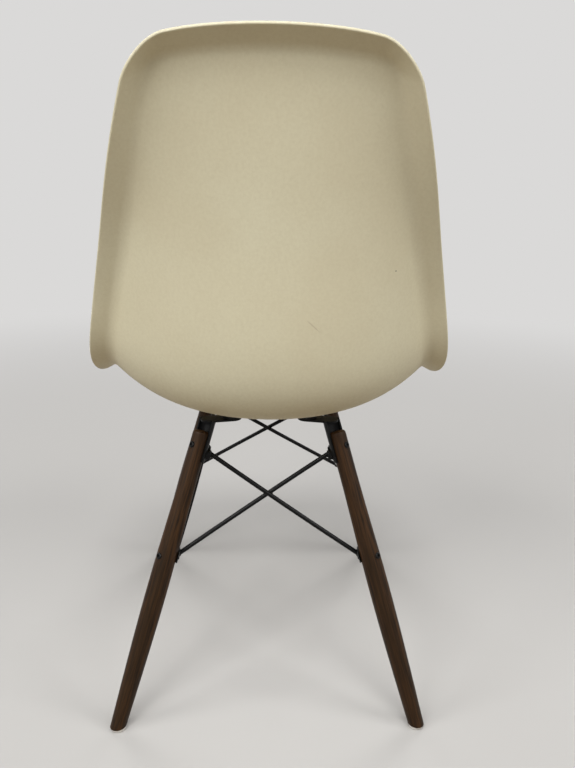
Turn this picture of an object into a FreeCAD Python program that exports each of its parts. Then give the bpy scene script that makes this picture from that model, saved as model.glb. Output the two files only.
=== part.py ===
"""Moulded plastic shell chair on a base of four wooden legs with wire cross braces.

Every piece is one STEP file in parts/. Lengths are in millimetres. The floor is at z = 0, the
sitter faces -Y, the sitter's left is +X, and the origin lies under the middle of the chair's depth.
"""
import FreeCAD, Part
import math
import os
from bisect import bisect_left
from collections import namedtuple
from FreeCAD import Matrix, Placement, Vector

# Base: where the leg axes meet the floor, and how far they lean in, in degrees from upright
foot_x = 193.8
foot_y = 231.7
splay_sideways = 16.12
splay_lengthways = 17.43

# Wooden legs
leg_top_height = 366.5
leg_top_diameter = 22.8
leg_belly_diameter = 26.6
leg_belly_height = 188.0
leg_foot_diameter = 19.6
leg_neck_height = 318.0
leg_top_round = 5.0
foot_taper_gain = 1.6

# Foot glides and their nails
glide_diameter = 18.0
glide_thickness = 4.5
glide_chamfer = 1.2
nail_diameter = 2.4
nail_length = 15.0
nail_head_diameter = 6.0
nail_head_thickness = 1.2
nail_head_depth = 1.5

# Bracket: a cradle on the inner side of each leg top and a plate under the seat
mount_plane_height = 380.0
plate_thickness = 2.5
cradle_thickness = 2.5
cradle_half_angle = 84.0
cradle_tail = 0.5
seat_mount_x = 50.0
seat_mount_y = 100.0
plate_inner_radius = 12.5
plate_outer_radius = 11.5
plate_outer_inset = 8.0

# Cross braces and the lugs that their ends are welded to: the height of the brace ends on each lug
# and how far the lug's faces lie in from the leg's axis
Lug = namedtuple("Lug", "height reach")
upper_lug = Lug(height=333.5, reach=20.0)
lower_lug = Lug(height=209.5, reach=16.5)
lug_below = 3.5
lug_above = 6.5
lug_corner_spare = 5.5
rod_diameter = 6.0
rod_inset = 11.0
rod_end_spare = 12.0
weld_overlap = 0.05

# Bolts through the legs
bolt_diameter = 5.0
bolt_head_diameter = 8.2
bolt_head_height = 2.6
bolt_head_sunk = 1.6
bolt_socket_diameter = 4.0
bolt_socket_depth = 1.5
head_rounding = 0.45
upper_bolt_height = 347.5
lower_bolt_height = 210.5
bolt_past_nut = 3.0
nut_across_flats = 8.0
nut_thickness = 5.0
nut_land_depth = 0.5
saddle_half_angle = 60.0
saddle_below_bolt = 4.5
saddle_above_bolt = 9.0
tapped_depth = 15.5

# Seat mounts: rubber pads, threaded inserts and screws
pad_diameter = 24.0
pad_thickness = 3.0
boss_diameter = 24.0
insert_diameter = 9.0
insert_length = 5.2
screw_diameter = 5.0
screw_head_diameter = 10.0
screw_head_height = 2.8
screw_socket_diameter = 3.4
screw_socket_depth = 1.4

# Clearances
shank_clearance = 0.2
thread_clearance = 0.05
wood_clearance = 0.15
head_clearance = 0.4

# Seat shell. Each station gives the middle line and the side edge of the bucket in side view, as
# a distance behind the base centre and a height over the bracket plates, and the half width.
Station = namedtuple("Station", "mid_y mid_h side_y side_h half_width")
front_edge = Station(mid_y=-283.0, mid_h=12.0, side_y=-262.0, side_h=22.0, half_width=196.0)
crest = Station(mid_y=-238.0, mid_h=46.0, side_y=-212.0, side_h=56.0, half_width=203.0)
mid_seat = Station(mid_y=-90.0, mid_h=31.0, side_y=-95.0, side_h=71.1, half_width=208.1)
low_seat = Station(mid_y=60.0, mid_h=8.0, side_y=12.1, side_h=66.9, half_width=215.3)
hip = Station(mid_y=161.8, mid_h=22.9, side_y=87.1, side_h=93.7, half_width=211.5)
lumbar = Station(mid_y=199.0, mid_h=90.0, side_y=117.8, side_h=160.3, half_width=197.2)
mid_back = Station(mid_y=212.0, mid_h=210.0, side_y=156.5, side_h=251.5, half_width=178.0)
shoulder = Station(mid_y=232.0, mid_h=340.0, side_y=203.8, side_h=339.5, half_width=162.2)
top_edge = Station(mid_y=252.0, mid_h=448.5, side_y=243.0, side_h=432.2, half_width=136.8)
stations = [front_edge, crest, mid_seat, low_seat, hip, lumbar, mid_back, shoulder, top_edge]
shell_thickness = 4.0
wall_steepness = 0.35
front_corner_radius = 90.0
top_corner_radius = 33.6
rim_bulge = 1.2
rim_round_share = 0.25

# The shell's lip: a round bend and then a flat flange. For the front edge, the sides and the top:
# how far the flange's edge lies behind the bowl, its angle to the bowl and the radius of the bend.
Lip = namedtuple("Lip", "flare angle bend_radius")
front_lip = Lip(flare=8.0, angle=44.0, bend_radius=7.0)
side_lip = Lip(flare=24.7, angle=72.0, bend_radius=7.0)
top_lip = Lip(flare=18.0, angle=40.0, bend_radius=20.0)
side_lip_from = 0.42
top_lip_from = 0.55

# How finely the shell's surfaces are sampled, how much the samples gather at the rim, the patch
# that trims the bosses as parts of the shell's length, and the steps and tolerance of searches
rows_across = 37
rows_along = 61
side_gathering = 0.75
end_gathering = 0.65
spline_steps = 800
difference_step = 0.5
halving_steps = 40
edge_tolerance = 0.01
boss_patch_across = 9
boss_patch_along = 17
boss_patch_from = 0.1
boss_patch_to = 0.5

lean_x = math.tan(math.radians(splay_sideways))
lean_y = math.tan(math.radians(splay_lengthways))
pad_top_height = mount_plane_height + pad_thickness
rod_radius = rod_diameter / 2
lean_length = math.sqrt(1 + lean_x ** 2 + lean_y ** 2)
big = 2000.0


def axis_point(side, end, height):
    """Point on a leg's axis at a height; side is +1 on the sitter's left, end is +1 at the back."""
    return Vector(side * (foot_x - lean_x * height), end * (foot_y - lean_y * height), height)


def leg_frame(side, end):
    """Placement at the foot with Z up the leg and X square to it, pointing in to the chair's middle."""
    up = (axis_point(side, end, 1.0) - axis_point(side, end, 0.0)).normalize()
    inward = Vector(-side, -end, 0)
    inward = (inward - up * inward.dot(up)).normalize()
    across = up.cross(inward)
    turn = Matrix(inward.x, across.x, up.x, 0, inward.y, across.y, up.y, 0, inward.z, across.z, up.z, 0)
    frame = Placement(turn)
    frame.Base = axis_point(side, end, 0.0)
    return frame


def along_leg(height):
    """Distance up a leg's axis for a height above the floor."""
    return height * lean_length


def placed(shape, frame):
    shape.Placement = frame.multiply(shape.Placement)
    return shape


def rod_along_x(radius, start, stop, height):
    """Cylinder along local X at a distance up the leg."""
    return Part.makeCylinder(radius, stop - start, Vector(start, 0, height), Vector(1, 0, 0))


def slab(low_z, high_z):
    return Part.makeBox(2 * big, 2 * big, high_z - low_z, Vector(-big, -big, low_z))


def leg_radius_curve():
    """Outline of a leg from its foot to its neck: distance up the axis against radius."""
    foot = Vector(leg_foot_diameter / 2, 0, 0)
    belly = Vector(leg_belly_diameter / 2, 0, along_leg(leg_belly_height))
    neck = Vector(leg_top_diameter / 2, 0, along_leg(leg_neck_height))
    outline = Part.BSplineCurve()
    slope = foot_taper_gain * (belly.x - foot.x) / belly.z
    outline.interpolate(Points=[foot, belly, neck], InitialTangent=Vector(slope, 0, 1),
                        FinalTangent=Vector(0, 0, 1))
    return outline


def leg_radius(distance):
    """Radius of a leg at a distance up its axis."""
    outline = leg_radius_curve()
    if distance >= along_leg(leg_neck_height):
        return leg_top_diameter / 2
    low, high = outline.FirstParameter, outline.LastParameter
    for _ in range(halving_steps):
        middle = (low + high) / 2
        if outline.value(middle).z < distance:
            low = middle
        else:
            high = middle
    return outline.value(low).x


def leg(side, end):
    """Turned leg with a rounded top, cut level at the foot and drilled for its two bolts."""
    outline = leg_radius_curve()
    top = along_leg(leg_top_height)
    neck = along_leg(leg_neck_height)
    radius = leg_top_diameter / 2
    foot_radius = leg_foot_diameter / 2
    below = -foot_radius
    round_middle = Vector(radius - leg_top_round * (1 - math.sqrt(0.5)), 0,
                          top - leg_top_round * (1 - math.sqrt(0.5)))
    edges = [
        Part.makeLine(Vector(0, 0, below), Vector(foot_radius, 0, below)),
        Part.makeLine(Vector(foot_radius, 0, below), Vector(foot_radius, 0, 0)),
        outline.toShape(),
        Part.makeLine(Vector(radius, 0, neck), Vector(radius, 0, top - leg_top_round)),
        Part.Arc(Vector(radius, 0, top - leg_top_round), round_middle,
                 Vector(radius - leg_top_round, 0, top)).toShape(),
        Part.makeLine(Vector(radius - leg_top_round, 0, top), Vector(0, 0, top)),
        Part.makeLine(Vector(0, 0, top), Vector(0, 0, below)),
    ]
    profile = Part.Face(Part.Wire(edges))
    wood = profile.revolve(Vector(0, 0, 0), Vector(0, 0, 1), 360)
    for height in (upper_bolt_height, lower_bolt_height):
        distance = along_leg(height)
        seat = leg_radius(distance) - bolt_head_sunk
        wood = wood.cut(rod_along_x(bolt_diameter / 2 + shank_clearance, -big, big, distance))
        wood = wood.cut(rod_along_x(bolt_head_diameter / 2 + head_clearance, -big, -seat, distance))
    wood = placed(wood, leg_frame(side, end))
    wood = wood.cut(slab(-big, glide_thickness))
    nail_hole = nail_shank(side, end, nail_diameter / 2 + thread_clearance)
    return wood.cut(nail_hole)


def glide_centre(side, end):
    centre = axis_point(side, end, glide_thickness)
    return Vector(centre.x, centre.y, 0)


def nail_shank(side, end, radius):
    """Nail that runs up the leg's axis from the head inside the glide."""
    start = glide_centre(side, end) + Vector(0, 0, nail_head_depth)
    up = axis_point(side, end, 1.0) - axis_point(side, end, 0.0)
    return Part.makeCylinder(radius, nail_length, start, up)


def glide_nail(side, end):
    head = Part.makeCylinder(nail_head_diameter / 2, nail_head_thickness,
                             glide_centre(side, end) + Vector(0, 0, nail_head_depth))
    shank = nail_shank(side, end, nail_diameter / 2)
    shank = shank.cut(slab(-big, nail_head_depth + nail_head_thickness / 2))
    return head.fuse(shank).removeSplitter()


def foot_glide(side, end):
    """Round glide with a chamfered lower edge and a recess for the nail's head."""
    radius = glide_diameter / 2
    centre = glide_centre(side, end)
    outline = Part.makePolygon([
        Vector(0, 0, 0), Vector(radius - glide_chamfer, 0, 0), Vector(radius, 0, glide_chamfer),
        Vector(radius, 0, glide_thickness), Vector(0, 0, glide_thickness), Vector(0, 0, 0)])
    disc = Part.Face(outline).revolve(Vector(0, 0, 0), Vector(0, 0, 1), 360)
    recess_height = nail_head_depth + nail_head_thickness
    recess = Part.makeCylinder(nail_head_diameter / 2 + thread_clearance, recess_height)
    disc = disc.cut(recess)
    disc.translate(centre)
    return disc.cut(nail_shank(side, end, nail_diameter / 2 + thread_clearance))


def cradle(inner_radius, half_angle, low, high):
    """Part of a tube that hugs the leg's inner side, between two distances up the leg."""
    outer_radius = inner_radius + cradle_thickness
    length = high - low
    tube = Part.makeCylinder(outer_radius, length, Vector(0, 0, low))
    tube = tube.cut(Part.makeCylinder(inner_radius, length, Vector(0, 0, low)))
    edge = outer_radius * math.cos(math.radians(half_angle))
    keep = Part.makeBox(outer_radius, 2 * outer_radius, length, Vector(edge, -outer_radius, low))
    return tube.common(keep)


def lug_block(side, end, lug):
    """Block in the leg's inner corner with one flat face for each of the two brace ends."""
    low_height = lug.height - lug_below
    thickness = lug_below + lug_above
    corner = axis_point(side, end, lug.height)
    low_x = min(corner.x, corner.x - side * lug.reach)
    low_y = min(corner.y, corner.y - end * lug.reach)
    block = Part.makeBox(lug.reach, lug.reach, thickness, Vector(low_x, low_y, low_height))
    disc = Part.makeCylinder(lug.reach + lug_corner_spare, thickness,
                             Vector(corner.x, corner.y, low_height))
    return block.common(disc)


def seat_mount(side, end, height):
    return Vector(side * seat_mount_x, end * seat_mount_y, height)


def plate(side, end):
    """Flat plate under the seat, from the cradle to the round end with the screw hole."""
    low = mount_plane_height - plate_thickness
    inner = seat_mount(side, end, low)
    outer = axis_point(side, end, low) + Vector(-side, -end, 0) * (plate_outer_inset * math.sqrt(0.5))
    run = outer - inner
    across = Vector(-run.y, run.x, 0).normalize()
    corners = [inner + across * plate_inner_radius, outer + across * plate_outer_radius,
               outer - across * plate_outer_radius, inner - across * plate_inner_radius]
    web = Part.Face(Part.makePolygon(corners + corners[:1])).extrude(Vector(0, 0, plate_thickness))
    inner_end = Part.makeCylinder(plate_inner_radius, plate_thickness, inner)
    outer_end = Part.makeCylinder(plate_outer_radius, plate_thickness, outer)
    return web.fuse([inner_end, outer_end])


def bracket(side, end):
    """Steel bracket: cradle, lug for the brace ends and plate, with its two holes."""
    frame = leg_frame(side, end)
    inner_radius = leg_top_diameter / 2 + wood_clearance
    outer_radius = inner_radius + cradle_thickness
    low = along_leg(upper_lug.height) - lug_below - cradle_tail
    high = along_leg(mount_plane_height) + outer_radius
    tongue = placed(cradle(inner_radius, cradle_half_angle, low, high), frame)
    tongue = tongue.common(slab(0, mount_plane_height))
    wood_room = placed(Part.makeCylinder(inner_radius, along_leg(leg_top_height)), frame)
    body = tongue.fuse([plate(side, end), lug_block(side, end, upper_lug).cut(wood_room)])
    bolt_at = along_leg(upper_bolt_height)
    bolt_hole = rod_along_x(bolt_diameter / 2 + shank_clearance, 0, 2 * outer_radius, bolt_at)
    land = rod_along_x(nut_corner_radius() + head_clearance, nut_seat(), 2 * outer_radius, bolt_at)
    screw_hole = Part.makeCylinder(screw_diameter / 2 + shank_clearance, plate_thickness,
                                   seat_mount(side, end, mount_plane_height - plate_thickness))
    body = body.cut([placed(bolt_hole, frame), placed(land, frame), screw_hole])
    return body.removeSplitter()


def saddle(side, end):
    """Lower saddle: a short cradle with the lug and a tapped hole for the lower bolt."""
    frame = leg_frame(side, end)
    bolt_at = along_leg(lower_bolt_height)
    inner_radius = leg_radius(bolt_at) + wood_clearance
    wings = cradle(inner_radius, saddle_half_angle, bolt_at - saddle_below_bolt,
                   bolt_at + saddle_above_bolt)
    wood_room = placed(Part.makeCylinder(inner_radius, along_leg(leg_top_height)), frame)
    body = placed(wings, frame).fuse(lug_block(side, end, lower_lug).cut(wood_room))
    tapped = rod_along_x(bolt_diameter / 2 + thread_clearance, 0, tapped_depth + shank_clearance, bolt_at)
    return body.cut(placed(tapped, frame)).removeSplitter()


def headed_bolt(distance, tip):
    """Button head bolt along local X with its head on the leg's outer side."""
    seat = leg_radius(distance) - bolt_head_sunk
    head_end = -seat - bolt_head_height
    head = rod_along_x(bolt_head_diameter / 2, head_end, -seat, distance)
    rounded = [edge for edge in head.Edges if abs(edge.BoundBox.XMax - head_end) < edge_tolerance]
    head = head.makeFillet(bolt_head_height * head_rounding, rounded)
    socket = rod_along_x(bolt_socket_diameter / 2, head_end, head_end + bolt_socket_depth, distance)
    shank = rod_along_x(bolt_diameter / 2, -seat, tip, distance)
    return head.fuse(shank).cut(socket).removeSplitter()


def upper_bolt(side, end):
    tip = nut_seat() + nut_thickness + bolt_past_nut
    return placed(headed_bolt(along_leg(upper_bolt_height), tip), leg_frame(side, end))


def lower_bolt(side, end):
    return placed(headed_bolt(along_leg(lower_bolt_height), tapped_depth), leg_frame(side, end))


def nut_seat():
    return leg_top_diameter / 2 + wood_clearance + cradle_thickness - nut_land_depth


def nut_corner_radius():
    return nut_across_flats / 2 / math.cos(math.radians(30))


def upper_nut(side, end):
    """Hexagon nut on the flat land of the cradle."""
    distance = along_leg(upper_bolt_height)
    corner = nut_corner_radius()
    points = [Vector(nut_seat(), corner * math.cos(math.radians(60 * k)),
                     distance + corner * math.sin(math.radians(60 * k))) for k in range(7)]
    nut = Part.Face(Part.makePolygon(points)).extrude(Vector(nut_thickness, 0, 0))
    bore = rod_along_x(bolt_diameter / 2 + thread_clearance, 0, big, distance)
    return placed(nut.cut(bore), leg_frame(side, end))


def brace(start, stop, bow, trim):
    """Wire brace on a very flat arc, cut flat at both ends where it meets the lugs."""
    run = (stop - start).normalize() * rod_end_spare
    path = Part.Arc(start - run, (start + stop) * 0.5 + bow, stop + run).toShape()
    ring = Part.makeCircle(rod_radius, start - run, path.tangentAt(path.FirstParameter))
    wire = Part.Wire(path).makePipeShell([Part.Wire(ring)], True, True)
    return wire.common(trim)


def brace_end(side, end, lug, along_x):
    """Centre of a brace's end face on the lug."""
    corner = axis_point(side, end, lug.height)
    if along_x:
        return Vector(corner.x - side * lug.reach, corner.y - end * rod_inset, lug.height)
    return Vector(corner.x - side * rod_inset, corner.y - end * lug.reach, lug.height)


def cross_brace(end, rising):
    """Brace between the left and right leg at one end of the chair."""
    bow = Vector(0, rising * (rod_radius - weld_overlap), 0)
    start = brace_end(-rising, end, lower_lug, True)
    stop = brace_end(rising, end, upper_lug, True)
    low = min(start.x, stop.x)
    trim = Part.makeBox(abs(stop.x - start.x), 2 * big, big, Vector(low, -big, 0))
    return brace(start, stop, bow, trim)


def side_brace(side, rising):
    """Brace between the front and rear leg on one side of the chair."""
    bow = Vector(rising * (rod_radius - weld_overlap), 0, 0)
    start = brace_end(side, -rising, lower_lug, False)
    stop = brace_end(side, rising, upper_lug, False)
    low = min(start.y, stop.y)
    trim = Part.makeBox(2 * big, abs(stop.y - start.y), big, Vector(-big, low, 0))
    return brace(start, stop, bow, trim)


def rubber_pad(side, end):
    pad = Part.makeCylinder(pad_diameter / 2, pad_thickness, seat_mount(side, end, mount_plane_height))
    hole = Part.makeCylinder(screw_diameter / 2 + shank_clearance, pad_thickness,
                             seat_mount(side, end, mount_plane_height))
    return pad.cut(hole)


def threaded_insert(side, end):
    insert = Part.makeCylinder(insert_diameter / 2, insert_length, seat_mount(side, end, pad_top_height))
    bore = Part.makeCylinder(screw_diameter / 2 + thread_clearance, insert_length,
                             seat_mount(side, end, pad_top_height))
    return insert.cut(bore)


def seat_screw(side, end):
    """Pan head screw from below through the plate and pad into the insert."""
    under_plate = mount_plane_height - plate_thickness
    head = Part.makeCylinder(screw_head_diameter / 2, screw_head_height,
                             seat_mount(side, end, under_plate - screw_head_height))
    low_edges = [edge for edge in head.Edges
                 if abs(edge.BoundBox.ZMax - under_plate + screw_head_height) < edge_tolerance]
    head = head.makeFillet(screw_head_height * head_rounding, low_edges)
    tip = pad_top_height + insert_length - thread_clearance
    shank = Part.makeCylinder(screw_diameter / 2, tip - under_plate, seat_mount(side, end, under_plate))
    socket = Part.makeCylinder(screw_socket_diameter / 2, screw_socket_depth,
                               seat_mount(side, end, under_plate - screw_head_height))
    return head.fuse(shank).cut(socket).removeSplitter()


def eased(part):
    """Share from 0 to 1 with a soft start and end."""
    part = min(max(part, 0.0), 1.0)
    return part * part * (3 - 2 * part)


class ShellForm:
    """Double-curved bucket on two rails: its middle line and its side edge.

    A point is given by its distance across from the middle and its distance along the middle line.
    Across, the surface rises from the middle line to the side edge as a bowl. Near the rim it
    bends away from the sitter into the lip.
    """

    def __init__(self):
        count = len(stations)
        self.middle = Part.BSplineCurve()
        self.middle.interpolate(
            Points=[Vector(0, s.mid_y, mount_plane_height + s.mid_h) for s in stations],
            Parameters=[float(k) for k in range(count)])
        self.side = Part.BSplineCurve()
        self.side.interpolate(
            Points=[Vector(s.half_width, s.side_y, mount_plane_height + s.side_h) for s in stations],
            Parameters=[float(k) for k in range(count)])
        self.steps = [k * (count - 1) / spline_steps for k in range(spline_steps + 1)]
        points = [self.middle.value(t) for t in self.steps]
        self.lengths = [0.0]
        for one, two in zip(points, points[1:]):
            self.lengths.append(self.lengths[-1] + one.distanceToPoint(two))
        self.length = self.lengths[-1]

    def parameter(self, along):
        """Spline parameter at a distance along the middle line."""
        k = min(max(bisect_left(self.lengths, along), 1), len(self.lengths) - 1)
        before, after = self.lengths[k - 1], self.lengths[k]
        part = (along - before) / (after - before)
        return self.steps[k - 1] + part * (self.steps[k] - self.steps[k - 1])

    def bowl(self, across, along):
        """Bowl without its lip: a curve of even powers from the middle line to the side edge."""
        t = self.parameter(along)
        middle, side = self.middle.value(t), self.side.value(t)
        q = across / side.x
        rise = (1 - wall_steepness) * q ** 2 + wall_steepness * q ** 4
        return Vector(across, middle.y + (side.y - middle.y) * rise, middle.z + (side.z - middle.z) * rise)

    def to_rim(self, across, along):
        """Distance in from the rim, whose corners are round."""
        half_width = self.side.value(self.parameter(along)).x
        at_top = along > self.length / 2
        radius = top_corner_radius if at_top else front_corner_radius
        to_end = self.length - along if at_top else along
        past_x = abs(across) - (half_width - radius)
        past_y = radius - to_end
        if past_x > 0 and past_y > 0:
            return radius - math.hypot(past_x, past_y)
        return min(half_width - abs(across), to_end)

    def normal(self, form, across, along):
        """Unit normal of a surface function, on the sitter's side."""
        low = max(along - difference_step, 0.0)
        high = min(along + difference_step, self.length)
        step_across = form(across + difference_step, along) - form(across - difference_step, along)
        step_along = form(across, high) - form(across, low)
        return step_across.cross(step_along).normalize()

    def lip_depth(self, across, along):
        """How far the lip lies behind the bowl: nothing inside it, then a round bend and a flat flange."""
        part = along / self.length
        to_side = eased(part / side_lip_from)
        to_top = eased((part - top_lip_from) / (1 - top_lip_from))
        flare, angle, radius = [front + (side - front) * to_side + (top - side) * to_top
                                for front, side, top in zip(front_lip, side_lip, top_lip)]
        angle = math.radians(angle)
        bend_width = radius * math.sin(angle)
        bend_depth = radius * (1 - math.cos(angle))
        width = bend_width + (flare - bend_depth) / math.tan(angle)
        past = width - self.to_rim(across, along)
        if past <= 0:
            return 0.0
        if past < bend_width:
            return radius - math.sqrt(radius ** 2 - past ** 2)
        return bend_depth + (past - bend_width) * math.tan(angle)

    def sitting(self, across, along):
        """The sitter's side of the shell, with the lip flared away from the sitter."""
        point = self.bowl(across, along)
        depth = self.lip_depth(across, along)
        if depth == 0:
            return point
        return point - self.normal(self.bowl, across, along) * depth

    def grid(self):
        """Places (across, along) in rows whose outermost lines follow the rim round its corners."""
        quarter = math.pi / 2
        stretch = self.length + (quarter - 1) * (front_corner_radius + top_corner_radius)
        front_part = front_corner_radius * quarter / stretch
        top_part = top_corner_radius * quarter / stretch
        columns = []
        for i in range(rows_across):
            even = 2 * i / (rows_across - 1) - 1
            u = even + side_gathering * (math.sin(even * quarter) - even)
            column = []
            for j in range(rows_along):
                even = j / (rows_along - 1)
                v = even + end_gathering * ((1 - math.cos(math.pi * even)) / 2 - even)
                tuck = 0.0
                if v < front_part:
                    turn = v / front_part * quarter
                    edge = front_corner_radius * (1 - math.cos(turn))
                    tuck = front_corner_radius * (1 - math.sin(turn))
                elif v > 1 - top_part:
                    turn = (1 - v) / top_part * quarter
                    edge = self.length - top_corner_radius * (1 - math.cos(turn))
                    tuck = top_corner_radius * (1 - math.sin(turn))
                else:
                    edge = front_corner_radius + (v - front_part) * stretch
                half_width = self.side.value(self.parameter(edge)).x - tuck
                along = (1 - u * u) * v * self.length + u * u * edge
                column.append((u * half_width, along))
            columns.append(column)
        return columns

    def surfaces(self):
        """Rows of points on the sitter's side, with the normals there."""
        places = self.grid()
        points = [[self.sitting(a, b) for a, b in column] for column in places]
        normals = [[self.normal(self.sitting, a, b) for a, b in column] for column in places]
        return points, normals


def offset_rows(points, normals, distance):
    return [[p - n * distance for p, n in zip(row, ways)] for row, ways in zip(points, normals)]


def surface_through(rows):
    surface = Part.BSplineSurface()
    surface.interpolate(rows)
    return surface


def rim_sides(rows):
    """The four border lines of a grid, in order round the rim."""
    front = [row[0] for row in rows]
    left = rows[-1]
    top = [row[-1] for row in rows][::-1]
    right = rows[0][::-1]
    return [front, left, top, right]


def rim_faces(points, normals, sitting, under):
    """Rounded edge of the shell as three strips between its two sides, all the way round."""
    inner = rim_sides(points)
    ways = rim_sides(normals)
    loop = [p for side in inner for p in side[:-1]]
    loop_ways = [n for side in ways for n in side[:-1]]
    count = len(loop)
    out = []
    for k in range(count):
        tangent = loop[(k + 1) % count] - loop[k - 1]
        out.append(tangent.cross(loop_ways[k]).normalize())
    if out[len(inner[0]) // 2].y > 0:
        out = [way * -1 for way in out]
    strips = []
    near = shell_thickness * rim_round_share
    far = shell_thickness - near
    first = [p - n * near + o * rim_bulge for p, n, o in zip(loop, loop_ways, out)]
    second = [p - n * far + o * rim_bulge for p, n, o in zip(loop, loop_ways, out)]
    u_low, u_high, v_low, v_high = sitting.bounds()
    a_low, a_high, b_low, b_high = under.bounds()
    top_sides = [sitting.vIso(v_low), sitting.uIso(u_high), sitting.vIso(v_high), sitting.uIso(u_low)]
    low_sides = [under.vIso(b_low), under.uIso(a_high), under.vIso(b_high), under.uIso(a_low)]
    at = 0
    for number, side in enumerate(inner):
        picks = [(at + k) % count for k in range(len(side))]
        at += len(side) - 1
        lines = []
        for ring in (first, second):
            curve = Part.BSplineCurve()
            order = picks if number < 2 else picks[::-1]
            curve.interpolate([ring[k] for k in order])
            lines.append(curve.toShape())
        edges = [top_sides[number].toShape()] + lines + [low_sides[number].toShape()]
        for one, two in zip(edges, edges[1:]):
            strips.append(Part.makeRuledSurface(one, two))
    return strips


def boss_limits(form):
    """Solid below the middle of the shell's thickness over the seat, which trims the bosses."""
    half_span = seat_mount_x + boss_diameter
    rows = []
    for i in range(boss_patch_across):
        across = half_span * (2 * i / (boss_patch_across - 1) - 1)
        row = []
        for j in range(boss_patch_along):
            part = boss_patch_from + (boss_patch_to - boss_patch_from) * j / (boss_patch_along - 1)
            along = form.length * part
            way = form.normal(form.sitting, across, along)
            row.append(form.sitting(across, along) - way * (shell_thickness / 2))
        rows.append(row)
    return surface_through(rows).toShape().extrude(Vector(0, 0, -mount_plane_height / 4))


def seat_shell():
    """Moulded shell with its rounded rim, and the bosses that hold the threaded inserts."""
    form = ShellForm()
    points, normals = form.surfaces()
    sitting = surface_through(points)
    under = surface_through(offset_rows(points, normals, shell_thickness))
    faces = [sitting.toShape(), under.toShape()] + rim_faces(points, normals, sitting, under)
    skin = Part.Shell(faces)
    skin.sewShape()
    body = Part.Solid(skin)
    if body.Volume < 0:
        body.reverse()
    limits = boss_limits(form)
    for side in (-1, 1):
        for end in (-1, 1):
            post = Part.makeCylinder(boss_diameter / 2, big, seat_mount(side, end, pad_top_height))
            body = body.fuse(post.common(limits))
    for side in (-1, 1):
        for end in (-1, 1):
            hole = Part.makeCylinder(insert_diameter / 2, insert_length,
                                     seat_mount(side, end, pad_top_height))
            body = body.cut(hole)
    return body


def group(maker):
    return Part.Compound([maker(side, end) for side in (-1, 1) for end in (-1, 1)])


def build():
    """All nodes by name, before the chair is centred on its depth."""
    nodes = {"seat_shell": seat_shell()}
    for end, end_name in ((-1, "front"), (1, "rear")):
        for side, side_name in ((1, "left"), (-1, "right")):
            corner = end_name + "_" + side_name
            nodes["leg_" + corner] = leg(side, end)
            nodes["bracket_" + corner] = bracket(side, end)
            nodes["saddle_" + corner] = saddle(side, end)
            nodes["rubber_pad_" + corner] = rubber_pad(side, end)
            nodes["foot_glide_" + corner] = foot_glide(side, end)
        nodes["brace_" + end_name + "_rising"] = cross_brace(end, 1)
        nodes["brace_" + end_name + "_falling"] = cross_brace(end, -1)
    for side, side_name in ((1, "left"), (-1, "right")):
        nodes["brace_" + side_name + "_rising"] = side_brace(side, 1)
        nodes["brace_" + side_name + "_falling"] = side_brace(side, -1)
    nodes["upper_bolts"] = group(upper_bolt)
    nodes["upper_nuts"] = group(upper_nut)
    nodes["lower_bolts"] = group(lower_bolt)
    nodes["seat_screws"] = group(seat_screw)
    nodes["threaded_inserts"] = group(threaded_insert)
    nodes["glide_nails"] = group(glide_nail)
    return nodes


def main():
    os.makedirs("parts", exist_ok=True)
    nodes = build()
    box = nodes["seat_shell"].optimalBoundingBox(False)
    for name, shape in nodes.items():
        if name.startswith("leg"):
            box.add(shape.optimalBoundingBox(False))
    shift = Vector(0, -(box.YMin + box.YMax) / 2, 0)
    for name, shape in nodes.items():
        shape.translate(shift)
        shape.exportStep("parts/" + name + ".step")
        print(name, len(shape.Solids), round(shape.Volume), shape.isValid())
    print("depth", round(box.YLength, 1), "width", round(box.XLength, 1), "height", round(box.ZMax, 1),
          "base centre y", round(shift.y, 2))


main()
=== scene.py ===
"""Moulded plastic shell chair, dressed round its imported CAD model.

The frame gives every rigid piece its place. The moulded shell is worked out again here as a finer
surface with a fully rounded rim, the welds of the wire braces are added, and every surface gets
its material. Lengths are in millimetres until a mesh is made, and in metres from there on.
"""

import math
from collections import namedtuple

import bpy
import numpy as np
from mathutils import Matrix, Vector


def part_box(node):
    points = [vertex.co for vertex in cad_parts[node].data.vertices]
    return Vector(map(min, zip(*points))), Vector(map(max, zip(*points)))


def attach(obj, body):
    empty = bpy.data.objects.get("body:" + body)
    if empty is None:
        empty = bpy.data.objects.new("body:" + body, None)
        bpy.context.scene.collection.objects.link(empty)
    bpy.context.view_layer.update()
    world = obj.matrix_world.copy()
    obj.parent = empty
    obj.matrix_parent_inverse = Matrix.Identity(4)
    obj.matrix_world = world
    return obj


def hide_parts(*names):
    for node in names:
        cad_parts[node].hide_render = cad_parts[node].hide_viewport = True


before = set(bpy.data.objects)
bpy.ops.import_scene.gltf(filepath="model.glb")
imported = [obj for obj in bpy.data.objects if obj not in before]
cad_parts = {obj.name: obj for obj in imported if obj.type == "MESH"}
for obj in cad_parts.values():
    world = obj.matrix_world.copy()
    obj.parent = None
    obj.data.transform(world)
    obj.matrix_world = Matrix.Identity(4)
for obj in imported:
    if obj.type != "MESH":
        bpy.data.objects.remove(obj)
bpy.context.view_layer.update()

MM = 0.001

# Base, as the CAD part has it: where the leg axes meet the floor, and their lean in degrees
foot_x, foot_y = 193.8, 231.7
splay_sideways, splay_lengthways = 16.12, 17.43
corner_names = {(1, -1): "front_left", (1, 1): "rear_left", (-1, -1): "front_right", (-1, 1): "rear_right"}

# Wire braces, and the lugs that they end on: the height of the wires' ends on each lug and how far
# the lug's faces lie in from the leg's axis
Lug = namedtuple("Lug", "height reach")
upper_lug = Lug(height=333.5, reach=20.0)
lower_lug = Lug(height=209.5, reach=16.5)
rod_radius = 3.0
rod_inset = 11.0
rod_end_spare = 12.0
weld_overlap = 0.05

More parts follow.
